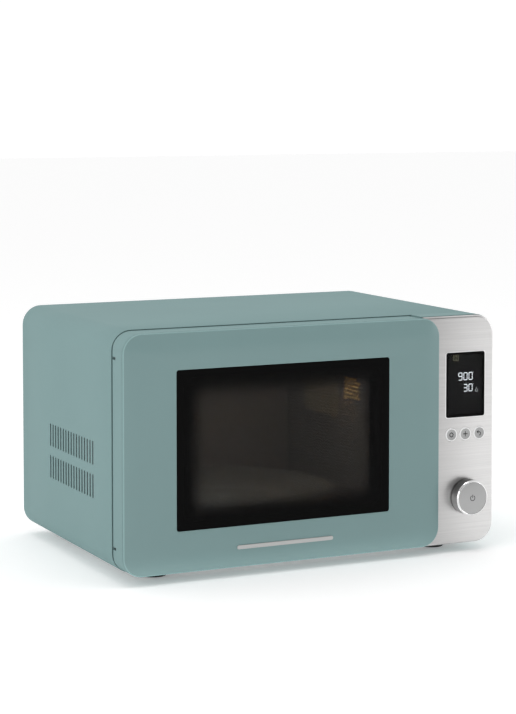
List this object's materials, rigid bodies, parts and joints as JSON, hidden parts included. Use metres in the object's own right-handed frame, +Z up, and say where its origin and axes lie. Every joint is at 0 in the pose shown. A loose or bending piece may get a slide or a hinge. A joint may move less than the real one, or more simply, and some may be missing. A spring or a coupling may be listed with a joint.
{
  "type": "microwave oven",
  "caption": "Countertop microwave oven with a rounded casing, a side-hinged door with a dark window, a glass turntable, and a steel panel with a display, round buttons and a knob.",
  "frame": {"origin": "on the surface the feet stand on, under the middle of the object's box", "axes": "+X to the right seen from the front (the width), -Y towards the front (the door), +Z up"},
  "size_m": [0.49, 0.36, 0.29],
  "materials": {
    "coloured_steel": "satin sage green paint",
    "coloured_moulding": "satin sage green moulding",
    "brushed_fascia": "brushed along X",
    "turned_metal": "satin, bevelled edge bright",
    "bright_trim": "fine satin",
    "dark_glass": "polished dark tint",
    "clear_glass": "polished clear",
    "cavity_enamel": "semi-gloss grey enamel",
    "front_plate_enamel": "satin grey paint",
    "zinc_sheet": "zinc-coated sheet, matt",
    "screw_steel": "bright zinc",
    "screen_black": "matt black",
    "black_plastic": "fine texture",
    "white_plastic": "smooth, off-white",
    "button_grey": "satin grey, white edge ring",
    "foot_rubber": "matt",
    "mica": "silvery flakes",
    "copper_alloy": "lacquered",
    "core_iron": "varnished laminations",
    "bare_aluminium": "drawn can",
    "board_green": "solder mask"
  },
  "bodies": {
    "oven": {"outer_casing": "coloured_steel", "rear_panel": "zinc_sheet", "casing_screws": "screw_steel", "base_plate": "zinc_sheet", "feet": "foot_rubber", "foot_screws": "screw_steel", "cord_gland": "black_plastic", "front_plate": "front_plate_enamel", "cavity_liner": "cavity_enamel", "mica_cover": "mica", "waveguide": "zinc_sheet", "magnetron_body": "zinc_sheet", "magnetron_antenna": "copper_alloy", "cavity_lamp": "clear_glass", "lamp_holder": "zinc_sheet", "transformer_core": "core_iron", "transformer_windings": "copper_alloy", "capacitor": "bare_aluminium", "fan_housing": "black_plastic", "fan_motor": "core_iron", "thermal_cutouts": "bare_aluminium", "filter_board": "board_green", "latch_base": "white_plastic", "door_switches": "black_plastic", "turntable_motor": "zinc_sheet", "hinge_brackets": "screw_steel", "panel_housing": "coloured_moulding", "fascia": "brushed_fascia", "display_window": "dark_glass", "display_module": "black_plastic", "control_board": "board_green", "button_guide": "white_plastic", "encoder_body": "bare_aluminium"},
    "door": {"door_cover": "coloured_moulding", "door_glass": "dark_glass", "door_frame": "coloured_moulding", "choke_frame": "zinc_sheet", "door_screen": "screen_black", "inner_pane": "clear_glass", "choke_cover": "black_plastic", "hinge_arms": "screw_steel", "hinge_pins": "screw_steel", "door_trim_bar": "bright_trim", "latch_spring": "screw_steel"},
    "latch": {"latch_hooks": "black_plastic"},
    "tray": {"turntable_tray": "clear_glass", "tray_coupler": "white_plastic", "turntable_shaft": "white_plastic"},
    "ring": {"roller_ring": "white_plastic"},
    "wheel_right": {"roller_right": "white_plastic"},
    "wheel_back": {"roller_back": "white_plastic"},
    "wheel_front": {"roller_front": "white_plastic"},
    "key_left": {"button_left": "button_grey"},
    "key_middle": {"button_middle": "button_grey"},
    "key_right": {"button_right": "button_grey"},
    "plunger": {"knob_plunger": "white_plastic"},
    "knob": {"knob_body": "turned_metal", "knob_face": "turned_metal", "knob_shaft": "screw_steel"},
    "fan": {"fan_blade": "white_plastic"}
  },
  "joints": [
    {"name": "door_hinge", "type": "hinge", "parent": "oven", "child": "door", "pos_m": [-0.2384, -0.1405, 0.15], "axis": [0, 0, -1], "range_deg": [0, 95]},
    {"name": "latch_lift", "type": "slide", "parent": "door", "child": "latch", "axis": [0, 0, 1], "range_m": [0, 0.004], "stiffness_N_per_m": 150, "springref_m": -0.012, "deforming": ["latch_spring"]},
    {"name": "tray_spin", "type": "hinge", "parent": "oven", "child": "tray", "pos_m": [-0.0405, 0.01, 0.06], "axis": [0, 0, 1], "continuous": true},
    {"name": "ring_spin", "type": "hinge", "parent": "oven", "child": "ring", "pos_m": [-0.0405, 0.01, 0.053], "axis": [0, 0, 1], "continuous": true},
    {"name": "wheel_right_spin", "type": "hinge", "parent": "ring", "child": "wheel_right", "pos_m": [0.0625, 0.01, 0.053], "axis": [1, 0, 0], "continuous": true},
    {"name": "wheel_back_spin", "type": "hinge", "parent": "ring", "child": "wheel_back", "pos_m": [-0.092, 0.0992, 0.053], "axis": [-0.5, 0.866, 0], "continuous": true},
    {"name": "wheel_front_spin", "type": "hinge", "parent": "ring", "child": "wheel_front", "pos_m": [-0.092, -0.0792, 0.053], "axis": [-0.5, -0.866, 0], "continuous": true},
    {"name": "key_left_press", "type": "slide", "parent": "oven", "child": "key_left", "axis": [0, 1, 0], "range_m": [0, 0.001], "stiffness_N_per_m": 500, "springref_m": -0.0006},
    {"name": "key_middle_press", "type": "slide", "parent": "oven", "child": "key_middle", "axis": [0, 1, 0], "range_m": [0, 0.001], "stiffness_N_per_m": 500, "springref_m": -0.0006},
    {"name": "key_right_press", "type": "slide", "parent": "oven", "child": "key_right", "axis": [0, 1, 0], "range_m": [0, 0.001], "stiffness_N_per_m": 500, "springref_m": -0.0006},
    {"name": "knob_press", "type": "slide", "parent": "oven", "child": "plunger", "axis": [0, 1, 0], "range_m": [0, 0.0008], "stiffness_N_per_m": 1200, "springref_m": -0.0008},
    {"name": "knob_turn", "type": "hinge", "parent": "plunger", "child": "knob", "pos_m": [0.2065, -0.172, 0.0682], "axis": [0, 1, 0], "continuous": true},
    {"name": "fan_spin", "type": "hinge", "parent": "oven", "child": "fan", "pos_m": [0.187, 0.14, 0.18], "axis": [0, 1, 0], "continuous": true}
  ],
  "couplings": [
    {"joint": "ring_spin", "follows": "tray_spin", "ratio": 0.5},
    {"joint": "wheel_right_spin", "follows": "tray_spin", "ratio": -7.3571},
    {"joint": "wheel_back_spin", "follows": "tray_spin", "ratio": -7.3571},
    {"joint": "wheel_front_spin", "follows": "tray_spin", "ratio": -7.3571}
  ]
}
